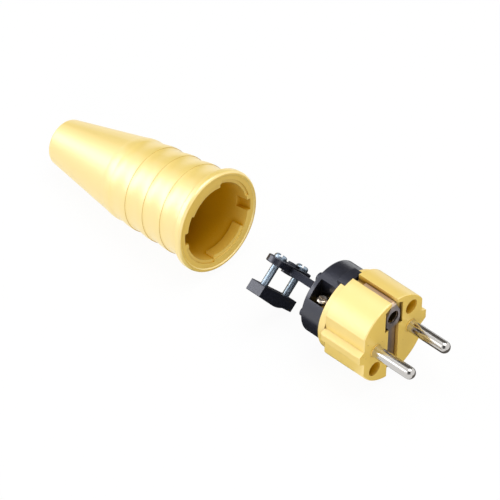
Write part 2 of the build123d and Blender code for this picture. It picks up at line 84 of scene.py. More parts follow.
def plain_material(name, colour, roughness, metallic=0.0):
    """A Principled material with one colour and one roughness; returns it with its shader."""
    material = bpy.data.materials.new(name)
    material.use_nodes = True
    shader = material.node_tree.nodes["Principled BSDF"]
    set_sockets(shader, {"Base Color": colour, "Roughness": roughness, "Metallic": metallic})
    return material, shader


def dress(material, *names):
    """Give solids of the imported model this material."""
    for name in names:
        solids[name].data.materials.clear()
        solids[name].data.materials.append(material)
    print(material.name, "on", ", ".join(names))


print("middle grey is", screen_colour(128, 128, 128))

# %% [markdown]
# Moulded rubber and plastic are never quite even: a fine grain breaks up their highlights and the
# colour drifts a little. Their edges are slightly round too, which catches the light. Both yellow
# and both black pieces need this, so it is one node group, a small tree that is built once and has
# inputs and outputs of its own. Object coordinates keep the grain fixed to the piece.

# %% Fine moulded grain, shared by several materials
GRAIN_DETAIL = 3.0
GRAIN_HEIGHT = 0.001
TONE_DETAIL = 2.0
EDGE_SAMPLES = 6


def new_group(name, kind, inputs, outputs):
    """An empty node group with named sockets; returns it with the sockets to read and to fill."""
    group = bpy.data.node_groups.new(name, kind)
    for side, sockets in (("INPUT", inputs), ("OUTPUT", outputs)):
        for socket, sort in sockets.items():
            group.interface.new_socket(socket, in_out=side, socket_type="NodeSocket" + sort)
    given = group.nodes.new("NodeGroupInput").outputs
    result = group.nodes.new("NodeGroupOutput").inputs
    return group, given, result


def moulded_grain_group():
    """Grain and soft edges as a normal, and a slow tone mask."""
    sizes = ("Grain Scale", "Grain Depth", "Tone Scale", "Edge Radius")
    group, given, result = new_group(
        "moulded_grain",
        "ShaderNodeTree",
        {size: "Float" for size in sizes},
        {"Normal": "Vector", "Tone": "Float"},
    )
    nodes, link = group.nodes, group.links.new
    place = nodes.new("ShaderNodeTexCoord")
    grain = nodes.new("ShaderNodeTexNoise")
    grain.inputs["Detail"].default_value = GRAIN_DETAIL
    bump = nodes.new("ShaderNodeBump")
    bump.inputs["Distance"].default_value = GRAIN_HEIGHT
    edge = nodes.new("ShaderNodeBevel")
    edge.samples = EDGE_SAMPLES
    tone = nodes.new("ShaderNodeTexNoise")
    tone.inputs["Detail"].default_value = TONE_DETAIL
    link(place.outputs["Object"], grain.inputs["Vector"])
    link(given["Grain Scale"], grain.inputs["Scale"])
    link(grain.outputs["Fac"], bump.inputs["Height"])
    link(given["Grain Depth"], bump.inputs["Strength"])
    link(given["Edge Radius"], edge.inputs["Radius"])
    link(edge.outputs["Normal"], bump.inputs["Normal"])
    link(place.outputs["Object"], tone.inputs["Vector"])
    link(given["Tone Scale"], tone.inputs["Scale"])
    link(bump.outputs["Normal"], result["Normal"])
    link(tone.outputs["Fac"], result["Tone"])
    return group


moulded_grain = moulded_grain_group()
print("grain nodes:", len(moulded_grain.nodes))

# %% [markdown]
# The painted shade of hollows differs between the outside and the inside of a moulding. A surface
# is on the outside where it looks away from the plug's axis. The dot product of its place, counted
# from the axis, and its direction tells this: it is over zero outside, and a small limit keeps flat
# fronts out of it.
# Each sum in a node tree is one Math node, so a helper makes it from numbers or sockets.

# %% Outside of a moulding
OUTWARD_FROM = 0.002


def calculate(nodes, link, operation, *values):
    """One sum of values, each a socket or a number."""
    step = nodes.new("ShaderNodeMath")
    step.operation = operation
    for socket, value in zip(step.inputs, values):
        if isinstance(value, (int, float)):
            socket.default_value = value
        else:
            link(value, socket)
    return step.outputs[0]


def looks_outward(nodes, link):
    """1 where a surface looks away from the plug's axis, from its place and its direction."""
    surface = nodes.new("ShaderNodeTexCoord")
    away = nodes.new("ShaderNodeVectorMath")
    away.operation = "MULTIPLY"
    away.inputs[1].default_value = (0.0, 1.0, 1.0)
    facing = nodes.new("ShaderNodeVectorMath")
    facing.operation = "DOT_PRODUCT"
    link(surface.outputs["Object"], away.inputs[0])
    link(away.outputs[0], facing.inputs[0])
    link(surface.outputs["Normal"], facing.inputs[1])
    return calculate(nodes, link, "GREATER_THAN", facing.outputs["Value"], OUTWARD_FROM)


print("outward from", OUTWARD_FROM * 1000, "mm")

# %% [markdown]
# Deep in the boot, in the screw holes and in the carrier's windows little light reaches, so the
# mouldings get a darker painted shade there and lose their sheen. Ambient Occlusion measures how
# open a place is, and a range turns that into a mask that is 1 in a hollow, where the shade is
# painted.
# One group looks at the piece alone. The other also counts the pieces beside it, for the painted
# shade of the narrow gaps between them. The fine creases round the outside of the boot are hollows
# as well, so a share of the mask can be left out where a surface looks outward.

# %% Painted shade in hollows, shared by several materials
HOLLOW_SAMPLES = 16
OPEN_FROM = 0.75
FULL_SHADE_AT = 0.3


def shade_mask_group(name, only_local):
    """Its Depth is 0 on open surfaces and 1 deep inside a hollow of the given reach: a mask for
    painted shade.
    """
    group, given, result = new_group(
        name,
        "ShaderNodeTree",
        {"Reach": "Float", "Only Inward": "Float"},
        {"Depth": "Float"},
    )
    nodes, link = group.nodes, group.links.new
    openness = nodes.new("ShaderNodeAmbientOcclusion")
    openness.samples = HOLLOW_SAMPLES
    openness.only_local = only_local
    spread = nodes.new("ShaderNodeMapRange")
    spread.inputs["From Min"].default_value = OPEN_FROM
    spread.inputs["From Max"].default_value = FULL_SHADE_AT
    link(given["Reach"], openness.inputs["Distance"])
    link(openness.outputs["AO"], spread.inputs["Value"])
    outward = looks_outward(nodes, link)
    left_out = calculate(nodes, link, "MULTIPLY", outward, given["Only Inward"])
    kept = calculate(nodes, link, "SUBTRACT", 1.0, left_out)
    depth = calculate(nodes, link, "MULTIPLY", kept, spread.outputs["Result"])
    link(depth, result["Depth"])
    return group


# Two masks for painted shade: one for the hollows of a piece, one for the gaps between pieces.
hollow_shade_mask = shade_mask_group("hollow_shade_mask", True)
gap_shade_mask = shade_mask_group("gap_shade_mask", False)
print("depth nodes:", len(hollow_shade_mask.nodes), len(gap_shade_mask.nodes))

# %% [markdown]
# A moulded finish puts the two groups together. Two near colours follow the tone mask, and a third
# one, a painted shade, lies over them in hollows, where the sheen ends. The sheen is a coat over the
# colour. Its weight changes over the piece, so it is fed by nodes. What is the same all over, such
# as how strongly and how sharply the coat mirrors, is set on the shader itself.

# %% The moulded finish
TONE_RATIO = 25.0
HOLLOW_REACH = 0.06


def placed_group(nodes, group, values):
    """A shared group in a material, with its own values."""
    placed = nodes.new("ShaderNodeGroup")
    placed.node_tree = group
    set_sockets(placed, values)
    return placed


def mixed(nodes, link, mask, below, above):
    """One colour laid over another where the mask is 1; each is a colour or a socket."""
    mix = nodes.new("ShaderNodeMix")
    mix.data_type = "RGBA"
    link(mask, mix.inputs["Factor"])
    for socket, colour in ((mix.inputs["A"], below), (mix.inputs["B"], above)):
        if isinstance(colour, tuple):
            socket.default_value = colour
        else:
            link(colour, socket)
    return mix.outputs["Result"]


def moulded_material(name, tones, grain_scale, grain_depth, edge, coat, gloss, inward=0.0):
    """Two near colours by the tone mask, and a painted shade colour without sheen in hollows."""
    light, dark, shade_colour = tones
    material, shader = plain_material(name, light, gloss["Roughness"])
    set_sockets(shader, gloss)
    nodes, link = material.node_tree.nodes, material.node_tree.links.new
    sizes = {
        "Grain Scale": grain_scale,
        "Grain Depth": grain_depth,
        "Tone Scale": grain_scale / TONE_RATIO,
        "Edge Radius": edge,
    }
    grain = placed_group(nodes, moulded_grain, sizes)
    hollow_shading = placed_group(nodes, hollow_shade_mask, {"Reach": HOLLOW_REACH, "Only Inward": inward})
    # Painted shade: depth is the hollow mask where the shade colour lies and the sheen ends.
    depth = hollow_shading.outputs["Depth"]
    even = mixed(nodes, link, grain.outputs["Tone"], dark, light)
    link(mixed(nodes, link, depth, even, shade_colour), shader.inputs["Base Color"])
    link(calculate(nodes, link, "MULTIPLY_ADD", depth, -coat, coat), shader.inputs["Coat Weight"])
    link(grain.outputs["Normal"], shader.inputs["Normal"])
    return material, shader


print("hollows reach", HOLLOW_REACH * 1000, "mm")

# %% [markdown]
# The boot is rubber and the front body a firmer moulding in the same pale warm yellow. Under bright
# light their sheen makes them creamy, while the boot's inside and the screw holes get a painted
# shade of deep gold. Only the grain and the softness of the edges tell the two pieces apart.

# %% Yellow rubber and yellow moulding
YELLOW_GLOSS = {
    "Roughness": 0.42,
    "Specular IOR Level": 0.3,
    "Coat IOR": 3.0,
    "Coat Roughness": 0.4,
}

# Painted shade: the deep gold laid into hollows and onto the front faces.
painted_shade_gold = screen_colour(196, 141, 3)
boot_rubber, boot_shader = moulded_material(
    "boot_rubber",
    (screen_colour(250, 219, 104), screen_colour(247, 213, 94), painted_shade_gold),
    grain_scale=900.0,
    grain_depth=0.05,
    edge=0.0005,
    coat=1.0,
    gloss=YELLOW_GLOSS,
    inward=0.6,
)
front_yellow, front_shader = moulded_material(
    "front_yellow",
    (screen_colour(248, 215, 100), screen_colour(244, 208, 88), painted_shade_gold),
    grain_scale=1200.0,
    grain_depth=0.06,
    edge=0.0002,
    coat=0.8,
    gloss=YELLOW_GLOSS,
)
dress(boot_rubber, "boot")
dress(front_yellow, "front_body")

# %% [markdown]
# The surfaces that look to the front, which are the rim of the boot and the engagement face, are
# more matt than the sides, and a painted shade makes them a little deeper in colour. The surface's
# own direction tells where, and both yellows need it, so this is a group too. It takes the colour
# and the sheen and gives them back changed.

# %% Matt fronts with painted shade, shared by the yellow materials
FRONT_LEAN = 0.9


def surface_part(nodes, link, kind, axis):
    """The X, Y or Z of a surface's place, kind "Object", or of its direction, kind "Normal"."""
    place = nodes.new("ShaderNodeTexCoord")
    parts = nodes.new("ShaderNodeSeparateXYZ")
    link(place.outputs[kind], parts.inputs[0])
    return parts.outputs[axis]


def matt_shaded_front_group():
    """Less sheen and a painted shade, where a surface looks to the front."""
    group, given, result = new_group(
        "matt_shaded_front",
        "ShaderNodeTree",
        {
            "Colour": "Color",
            "Shade Colour": "Color",
            "Shade Share": "Float",
            "Sheen": "Float",
            "Lost Share": "Float",
        },
        {"Colour": "Color", "Sheen": "Float"},
    )
    nodes, link = group.nodes, group.links.new
    lean = surface_part(nodes, link, "Normal", "X")
    front = calculate(nodes, link, "GREATER_THAN", lean, FRONT_LEAN)
    front_shade = calculate(nodes, link, "MULTIPLY", front, given["Shade Share"])
    link(mixed(nodes, link, front_shade, given["Colour"], given["Shade Colour"]), result["Colour"])
    lost = calculate(nodes, link, "MULTIPLY", front, given["Lost Share"])
    kept = calculate(nodes, link, "SUBTRACT", 1.0, lost)
    link(calculate(nodes, link, "MULTIPLY", given["Sheen"], kept), result["Sheen"])
    return group


matt_shaded_front = matt_shaded_front_group()
print("matt front nodes:", len(matt_shaded_front.nodes))

# %% [markdown]
# The group goes between the finish and the shader: what fed the shader's colour and sheen now feeds
# the group, and the group feeds the shader. The boot's rim gets more painted shade than the face
# does.

# %% Boot's rim and engagement face
LOST_SHEEN = 0.6
BOOT_SHADE_SHARE = 0.38
FACE_SHADE_SHARE = 0.2


def feeding(socket):
    """The socket that feeds this one."""
    return socket.links[0].from_socket


def make_front_matt_shaded(material, shader, shade_share):
    """Put the group between the finish and the shader."""
    nodes, link = material.node_tree.nodes, material.node_tree.links.new
    values = {"Shade Colour": painted_shade_gold, "Shade Share": shade_share, "Lost Share": LOST_SHEEN}
    matt_and_shade = placed_group(nodes, matt_shaded_front, values)
    for name, socket in (("Colour", "Base Color"), ("Sheen", "Coat Weight")):
        link(feeding(shader.inputs[socket]), matt_and_shade.inputs[name])
        link(matt_and_shade.outputs[name], shader.inputs[socket])
    print(material.name, "is matt in front")


# Painted shade on the boot's rim and on the engagement face.
make_front_matt_shaded(boot_rubber, boot_shader, BOOT_SHADE_SHARE)
make_front_matt_shaded(front_yellow, front_shader, FACE_SHADE_SHARE)

# %% [markdown]
# The earth strip lies in a pocket of the front body with a narrow gap round it. Little light gets
# into such a gap, so a dark brown painted shade lies over its walls. The face also has a few dark
# specks from the mould. A Voronoi texture gives the distance to scattered points, and what is near a
# point is a small round spot. The random colour of each point chooses the few that are used.

# %% Painted shade in gaps, and specks of the front body
GAP_REACH = 0.003
SPECK_SCALE = 420.0
SPECK_SIZE = 0.11
SPECK_SHARE = 0.16
FACE_FROM = -0.0004

painted_gap_brown = screen_colour(66, 43, 16)
speck_brown = screen_colour(176, 132, 62)


def paint_gap_shade(material, shader, shade_colour):
    """Paint a dark shade into the narrow steps and the gaps to the pieces beside."""
    nodes, link = material.node_tree.nodes, material.node_tree.links.new
    gap_shading = placed_group(nodes, gap_shade_mask, {"Reach": GAP_REACH, "Only Inward": 0.0})
    below = feeding(shader.inputs["Base Color"])
    link(mixed(nodes, link, gap_shading.outputs["Depth"], below, shade_colour), shader.inputs["Base Color"])


def face_specks(material, shader, dark):
    """Put a few dark specks on the engagement face only."""
    nodes, link = material.node_tree.nodes, material.node_tree.links.new
    place = nodes.new("ShaderNodeTexCoord")
    cells = nodes.new("ShaderNodeTexVoronoi")
    cells.inputs["Scale"].default_value = SPECK_SCALE
    chance = nodes.new("ShaderNodeSeparateColor")
    link(place.outputs["Object"], cells.inputs["Vector"])
    link(cells.outputs["Color"], chance.inputs[0])
    near = calculate(nodes, link, "LESS_THAN", cells.outputs["Distance"], SPECK_SIZE)
    chosen = calculate(nodes, link, "LESS_THAN", chance.outputs["Red"], SPECK_SHARE)
    along = surface_part(nodes, link, "Object", "X")
    on_face = calculate(nodes, link, "GREATER_THAN", along, FACE_FROM)
    both = calculate(nodes, link, "MULTIPLY", near, chosen)
    speck = calculate(nodes, link, "MULTIPLY", both, on_face)
    below = feeding(shader.inputs["Base Color"])
    link(mixed(nodes, link, speck, below, dark), shader.inputs["Base Color"])


# Painted shade: dark brown in the gaps round the earth strip and in narrow steps.
paint_gap_shade(front_yellow, front_shader, painted_gap_brown)
face_specks(front_yellow, front_shader, speck_brown)
print("front body nodes:", len(front_yellow.node_tree.nodes))

# %% [markdown]
# The carrier, its arm and the clamp bar are black moulded plastic. Its sheen shows as blue-grey
# reflections of the studio, so the base is a near black with a cool cast, the roughness is fairly
# low and what it mirrors is tinted.

# %% Black moulding
BLACK_GLOSS = {
    "Roughness": 0.34,
    "Specular IOR Level": 0.65,
    "Specular Tint": (0.78, 0.81, 1.0, 1.0),
    "Coat IOR": 1.75,
    "Coat Roughness": 0.2,
}

# The third, near black colour is painted shade in the carrier's hollows and windows.
carrier_black, carrier_shader = moulded_material(
    "carrier_black",
    (screen_colour(25, 27, 38), screen_colour(18, 20, 29), screen_colour(8, 8, 9)),
    grain_scale=1500.0,
    grain_depth=0.1,
    edge=0.0002,
    coat=0.42,
    gloss=BLACK_GLOSS,
)
dress(carrier_black, "carrier", "clamp_bar")

# %% [markdown]
# The arm between the drum and the jaw is one moulding with them, but it is rough from the mould and
# mirrors nothing. The place along the plug tells the arm from the rest, so one material does both.

# %% Dull arm of the carrier
ARM_MIDDLE = -0.0402
ARM_REACH = 0.0078
ARM_ROUGHER = 0.35


def dull_arm(material, shader):
    """Near the arm's middle the surface is rougher and has no sheen."""
    nodes, link = material.node_tree.nodes, material.node_tree.links.new
    along = surface_part(nodes, link, "Object", "X")
    arm = calculate(nodes, link, "COMPARE", along, ARM_MIDDLE, ARM_REACH)
    plain = shader.inputs["Roughness"].default_value
    rough = calculate(nodes, link, "MULTIPLY_ADD", arm, ARM_ROUGHER, plain)
    rest = calculate(nodes, link, "SUBTRACT", 1.0, arm)
    sheen = calculate(nodes, link, "MULTIPLY", feeding(shader.inputs["Coat Weight"]), rest)
    link(rough, shader.inputs["Roughness"])
    link(sheen, shader.inputs["Coat Weight"])


dull_arm(carrier_black, carrier_shader)
print("arm from", ARM_MIDDLE - ARM_REACH, "to", ARM_MIDDLE + ARM_REACH)

# %% [markdown]
# Five metals meet here: polished nickel on the pins, satin nickel on the earth strip, bright zinc
# on most screws, warmer steel on the two terminal screws of the pins, and plain brass inside. Each
# is fully metallic, and only colour and roughness tell them apart.

# %% Metals
METALLIC = 1.0

pin_plating, pin_shader = plain_material(
    "pin_plating", screen_colour(203, 200, 196), 0.15, METALLIC
)
earth_strip, strip_shader = plain_material(
    "earth_strip", screen_colour(194, 186, 187), 0.36, METALLIC
)
screw_zinc = plain_material("screw_zinc", screen_colour(166, 182, 197), 0.36, METALLIC)[0]
terminal_steel = plain_material("terminal_steel", screen_colour(205, 194, 180), 0.26, METALLIC)[0]
socket_brass = plain_material("brass", screen_colour(120, 100, 66), 0.35, METALLIC)[0]
dress(pin_plating, "pin_left", "pin_right")
dress(earth_strip, "earth_bridge")
dress(socket_brass, "earth_socket")

# %% [markdown]
# Each pin comes out of a small collar of the moulding. A bright ring would show there, so behind
# that line the pin takes the yellow of the moulding and isn't metallic. The place along the pin
# decides, with a sharp change.

# %% Dull roots of the pins
ROOT_EDGE = 0.0003


def dull_root(material, shader, dull):
    """Behind the root's edge, mix to a dull colour without metal."""
    nodes, link = material.node_tree.nodes, material.node_tree.links.new
    bright = tuple(shader.inputs["Base Color"].default_value)
    along = surface_part(nodes, link, "Object", "X")
    front = calculate(nodes, link, "GREATER_THAN", along, ROOT_EDGE)
    link(mixed(nodes, link, front, dull, bright), shader.inputs["Base Color"])
    link(front, shader.inputs["Metallic"])


dull_root(pin_plating, pin_shader, screen_colour(236, 198, 98))
print("pins are bright in front of", ROOT_EDGE * 1000, "mm")

# %% [markdown]
# The earth strip is folded round the front body, and at the top and the bottom it lies in the slots
# between yellow walls. There a warm tint is painted on the metal, a painted reflection of those
# walls.
# The distance from the axis decides, this time with a soft change.

# %% Painted reflection on the top and bottom of the earth strip
TINT_FROM = 0.0145
TINT_FADE = 0.0003


def slot_reflection_tint(material, shader, reflected_gold):
    """Mix to a warm painted reflection by the height over or under the axis."""
    nodes, link = material.node_tree.nodes, material.node_tree.links.new
    plain = tuple(shader.inputs["Base Color"].default_value)
    height = calculate(nodes, link, "ABSOLUTE", surface_part(nodes, link, "Object", "Z"))
    side = nodes.new("ShaderNodeMapRange")
    side.inputs["From Min"].default_value = TINT_FROM - TINT_FADE
    side.inputs["From Max"].default_value = TINT_FROM + TINT_FADE
    link(height, side.inputs["Value"])
    link(mixed(nodes, link, side.outputs["Result"], plain, reflected_gold), shader.inputs["Base Color"])


# Painted reflection: the warm tint stands for the yellow slot walls that the metal mirrors.
slot_reflection_tint(earth_strip, strip_shader, screen_colour(216, 196, 176))
print("strip is coppery beyond", TINT_FROM * 1000, "mm")

# %% [markdown]
# Every screw has the same form: a domed head with a straight slot and a threaded shank. It repeats
# seven times in four sizes, so one set of geometry nodes makes it. This cell names the sizes that
# the nodes take, and adds two small steps that the head and the shank both need.

# %% Sizes of a screw and steps of its nodes
SCREW_INPUTS = (
    "Thread Radius",
    "Thread Pitch",
    "Shank Length",
    "Head Radius",
    "Head Height",
    "Slot Width",
    "Slot Depth",
)


def vector_of(nodes, link, **parts):
    """A vector from named parts, each a socket or a number."""
    joined = nodes.new("ShaderNodeCombineXYZ")
    for axis, value in parts.items():
        if isinstance(value, (int, float)):
            joined.inputs[axis].default_value = value
        else:
            link(value, joined.inputs[axis])
    return joined.outputs[0]


def moved(nodes, link, geometry, height):
    """Shift a geometry up or down."""
    move = nodes.new("GeometryNodeTransform")
    link(geometry, move.inputs["Geometry"])
    link(vector_of(nodes, link, Z=height), move.inputs["Translation"])
    return move.outputs["Geometry"]


print("a screw takes", len(SCREW_INPUTS), "sizes")

# %% [markdown]
# The head starts as a cylinder. A rule draws its points in towards the axis, hardly at all near the
# seat and more and more near the top, and that makes the dome. A long thin cube then cuts the slot.

# %% Head of a screw
HEAD_CORNERS = 40
HEAD_RINGS = 8
DOME_POWER = 4.0
DOME_DRAW = 0.55
SLOT_REACH = 3.0


def domed(nodes, link, geometry, height):
    """Draw a cylinder in towards its top."""
    place = nodes.new("GeometryNodeInputPosition")
    parts = nodes.new("ShaderNodeSeparateXYZ")
    link(place.outputs[0], parts.inputs[0])
    share = calculate(nodes, link, "DIVIDE", parts.outputs["Z"], height)
    curve = calculate(nodes, link, "POWER", share, DOME_POWER)
    inward = calculate(nodes, link, "MULTIPLY", curve, DOME_DRAW)
    width = calculate(nodes, link, "SQRT", calculate(nodes, link, "SUBTRACT", 1.0, inward))
    across = calculate(nodes, link, "MULTIPLY", parts.outputs["X"], width)
    along = calculate(nodes, link, "MULTIPLY", parts.outputs["Y"], width)
    dome = nodes.new("GeometryNodeSetPosition")
    link(geometry, dome.inputs["Geometry"])
    link(vector_of(nodes, link, X=across, Y=along, Z=parts.outputs["Z"]), dome.inputs["Position"])
    return dome.outputs["Geometry"]


def slot_cutter(nodes, link, given):
    """A box through the head's top, as wide as the slot and longer than the head is wide."""
    cutter = nodes.new("GeometryNodeMeshCube")
    length = calculate(nodes, link, "MULTIPLY", given["Head Radius"], SLOT_REACH)
    double = calculate(nodes, link, "MULTIPLY", given["Slot Depth"], 2.0)
    size = vector_of(nodes, link, X=length, Y=given["Slot Width"], Z=double)
    link(size, cutter.inputs["Size"])
    return moved(nodes, link, cutter.outputs["Mesh"], given["Head Height"])


def head_nodes(nodes, link, given):
    """A domed cylinder that stands on the seat, with a straight slot cut across it."""
    height = given["Head Height"]
    drum = nodes.new("GeometryNodeMeshCylinder")
    drum.inputs["Vertices"].default_value = HEAD_CORNERS
    drum.inputs["Side Segments"].default_value = HEAD_RINGS
    link(given["Head Radius"], drum.inputs["Radius"])
    link(height, drum.inputs["Depth"])
    half = calculate(nodes, link, "MULTIPLY", height, 0.5)
    raised = moved(nodes, link, drum.outputs["Mesh"], half)
    cut = nodes.new("GeometryNodeMeshBoolean")
    cut.operation = "DIFFERENCE"
    link(domed(nodes, link, raised, height), cut.inputs["Mesh 1"])
    link(slot_cutter(nodes, link, given), cut.inputs["Mesh 2"])
    return cut.outputs["Mesh"]


print("a head has", HEAD_CORNERS * HEAD_RINGS, "side faces before the cut")

# %% [markdown]
# The shank is a plain core with a ridge wound round it. The ridge is a small square swept along a
# spiral, sunk to its middle in the core. This fine thread gives the long clamp screws their
# grey-blue shimmer, which a smooth cylinder wouldn't have.

# %% Threaded shank of a screw
CORE_CORNERS = 40
TURN_STEPS = 26
RIDGE_CORNERS = 4
RIDGE_SHARE = 0.22


def core_nodes(nodes, link, radius, length):
    """A plain cylinder from the seat down."""
    core = nodes.new("GeometryNodeMeshCylinder")
    core.inputs["Vertices"].default_value = CORE_CORNERS
    link(radius, core.inputs["Radius"])
    link(length, core.inputs["Depth"])
    sunk = calculate(nodes, link, "MULTIPLY", length, -0.5)
    return moved(nodes, link, core.outputs["Mesh"], sunk)


def ridge_nodes(nodes, link, radius, depth, pitch, length):
    """A square section swept along a spiral that ends one half pitch under the seat."""
    wind = nodes.new("GeometryNodeCurveSpiral")
    wind.inputs["Resolution"].default_value = TURN_STEPS
    turns = calculate(nodes, link, "DIVIDE", length, pitch)
    link(calculate(nodes, link, "SUBTRACT", turns, 1.0), wind.inputs["Rotations"])
    link(radius, wind.inputs["Start Radius"])
    link(radius, wind.inputs["End Radius"])
    link(calculate(nodes, link, "SUBTRACT", length, pitch), wind.inputs["Height"])
    section = nodes.new("GeometryNodeCurvePrimitiveCircle")
    section.inputs["Resolution"].default_value = RIDGE_CORNERS
    link(depth, section.inputs["Radius"])
    ridge = nodes.new("GeometryNodeCurveToMesh")
    ridge.inputs["Fill Caps"].default_value = True
    link(wind.outputs["Curve"], ridge.inputs["Curve"])
    link(section.outputs["Curve"], ridge.inputs["Profile Curve"])
    end = calculate(nodes, link, "MULTIPLY", length, -1.0)
    start = calculate(nodes, link, "ADD", end, calculate(nodes, link, "MULTIPLY", pitch, 0.5))
    return moved(nodes, link, ridge.outputs["Mesh"], start)


def shank_nodes(nodes, link, given):
    """The core and the ridge wound round it."""
    pitch, length = given["Thread Pitch"], given["Shank Length"]
    depth = calculate(nodes, link, "MULTIPLY", pitch, RIDGE_SHARE)
    radius = calculate(nodes, link, "SUBTRACT", given["Thread Radius"], depth)
    core = core_nodes(nodes, link, radius, length)
    return core, ridge_nodes(nodes, link, radius, depth, pitch, length)


print("one turn of the thread has", TURN_STEPS * RIDGE_CORNERS, "faces")

# %% [markdown]
# Head, core and ridge are joined, any instances are made real and the finish is set. The group has
# a named input for each size, so that another screw needs other numbers only.


# %% Whole screw made by geometry nodes
def screw_group():
    """Geometry nodes for one screw: its seat is at the origin and its shank points down."""
    inputs = {size: "Float" for size in SCREW_INPUTS}
    inputs["Finish"] = "Material"
    group, given, result = new_group(
        "slotted_screw", "GeometryNodeTree", inputs, {"Geometry": "Geometry"}
    )
    nodes, link = group.nodes, group.links.new
    joined = nodes.new("GeometryNodeJoinGeometry")
    link(head_nodes(nodes, link, given), joined.inputs["Geometry"])
    for part in shank_nodes(nodes, link, given):
        link(part, joined.inputs["Geometry"])
    real = nodes.new("GeometryNodeRealizeInstances")
    finish = nodes.new("GeometryNodeSetMaterial")
    link(joined.outputs["Geometry"], real.inputs["Geometry"])
    link(real.outputs["Geometry"], finish.inputs["Geometry"])
    link(given["Finish"], finish.inputs["Material"])
    link(finish.outputs["Geometry"], result["Geometry"])
    return group


slotted_screw = screw_group()
print("screw nodes:", len(slotted_screw.nodes))

# %% [markdown]
# A screw is made at its own size and kept as a plain mesh, so the finished piece has no modifier.
# Then it is turned and moved into its seat, where it stands for the plain screw of the packed
# model. A seat is a point and the direction in which the head looks, and the slot has a direction
# too.

# %% Making a screw and setting it in its seat
MILLIMETRE = 0.001
THREAD_RADIUS = 1.5
THREAD_PITCH = 0.35
HEAD_HEIGHT = 1.7
SLOT_WIDTH = 0.9
SLOT_DEPTH = 1.0


def screw_mesh(name, length, head_radius, metal):
    """Run the screw's nodes once and keep the result as a plain mesh."""
    holder = bpy.data.objects.new(name, bpy.data.meshes.new(name))
    bpy.context.scene.collection.objects.link(holder)
    modifier = holder.modifiers.new("screw", "NODES")
    modifier.node_group = slotted_screw
    sizes = (THREAD_RADIUS, THREAD_PITCH, length, head_radius, HEAD_HEIGHT, SLOT_WIDTH, SLOT_DEPTH)
    values = dict(zip(SCREW_INPUTS, (size * MILLIMETRE for size in sizes)))
    values["Finish"] = metal
    for item in slotted_screw.interface.items_tree:
        if item.name in values:
            modifier[item.identifier] = values[item.name]
    ready = holder.evaluated_get(bpy.context.evaluated_depsgraph_get())
    mesh = bpy.data.meshes.new_from_object(ready)
    bpy.data.objects.remove(holder)
    return mesh


def set_screw(node, size, seat, looks, slot_along, metal=screw_zinc):
    """Make a screw, turn and move its mesh into its seat and let it stand for the model's screw."""
    mesh = screw_mesh(node + "_thread", *size, metal)
    up = Vector(looks).normalized()
    first = Vector(slot_along).normalized()
    turn = Matrix((first, up.cross(first), up)).transposed().to_4x4()
    mesh.transform(Matrix.Translation(Vector(seat) * MILLIMETRE) @ turn)
    screw = bpy.data.objects.new(node + "_thread", mesh)
    bpy.context.scene.collection.objects.link(screw)
    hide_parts(node)
    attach(screw, "root")
    print(node, "has", len(mesh.polygons), "faces")


print("thread pitch", THREAD_PITCH, "mm")

# %% [markdown]
# The two clamp screws lean 48 degrees about the plug's axis, together with the jaw that they pass
# through, and their slots don't lie straight. A screw's size is the length of its shank and the
# radius of its head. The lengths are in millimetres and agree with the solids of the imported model.

# %% Clamp screws
CLAMP_SCREW = (13.0, 2.55)
CLAMP_X = -52.7
CLAMP_LEAN = math.radians(48.0)
CLAMP_HALF_PITCH = 8.95
CLAMP_SEAT = 2.0
CLAMP_SLOT_TURN = math.radians(60.0)

clamp_up = Vector((0.0, math.sin(CLAMP_LEAN), math.cos(CLAMP_LEAN)))
clamp_along = Vector((0.0, math.cos(CLAMP_LEAN), -math.sin(CLAMP_LEAN)))
clamp_slot = Vector((math.cos(CLAMP_SLOT_TURN), 0, 0)) - clamp_along * math.sin(CLAMP_SLOT_TURN)
for node, side in (("clamp_screw_left", -1), ("clamp_screw_right", 1)):
    seat = Vector((CLAMP_X, 0, 0)) + clamp_up * CLAMP_SEAT + clamp_along * side * CLAMP_HALF_PITCH
    set_screw(node, CLAMP_SCREW, seat, clamp_up, clamp_slot)

# %% [markdown]
# The other five sit inside the insert: one screw in each pin's terminal block, of which only the
# left one shows through its window, two deep in the holes of the face, and one under the earth
# socket. The pins' screws are of the warmer steel.

# %% Terminal screws and assembly screws
TERMINAL_SCREW = (6.6, 2.3)
TERMINAL_X = -26.7
TERMINAL_SEAT = 6.8
PIN_Y = 9.5
ASSEMBLY_SCREW = (10.0, 2.55)
ASSEMBLY_X = -12.0
ASSEMBLY_Y = 9.503
ASSEMBLY_Z = 9.306
EARTH_SCREW = (4.5, 2.3)
EARTH_SEAT = 5.8

for name, side in (("left", -1), ("right", 1)):
    seat = (TERMINAL_X, side * PIN_Y, -side * TERMINAL_SEAT)
    looks = (0, 0, -side)
    set_screw("terminal_screw_" + name, TERMINAL_SCREW, seat, looks, (1, 0, 0), terminal_steel)
    seat = (ASSEMBLY_X, side * ASSEMBLY_Y, side * ASSEMBLY_Z)
    set_screw("assembly_screw_" + name, ASSEMBLY_SCREW, seat, (1, 0, 0), (0, 0, 1))
earth_seat = (TERMINAL_X, 0, EARTH_SEAT)
set_screw("earth_terminal_screw", EARTH_SCREW, earth_seat, (0, 0, -1), (1, 0, 0))

# %% [markdown]
# The photograph's background is pure white. The floor is a pale sheet under the object. A camera,
# glossy or transmission ray sees it mostly as plain white light, and the rest of it is an ordinary
# diffuse sheet, so a faint shadow stays. The world will do the same for what lies beyond the sheet.

# %% Floor and background
FLOOR_HALF_SIZE = 1.5
SHEET_SHARE = 0.06
SHEET_WHITE = (0.9, 0.9, 0.9, 1.0)

lowest = size_before[0][2]


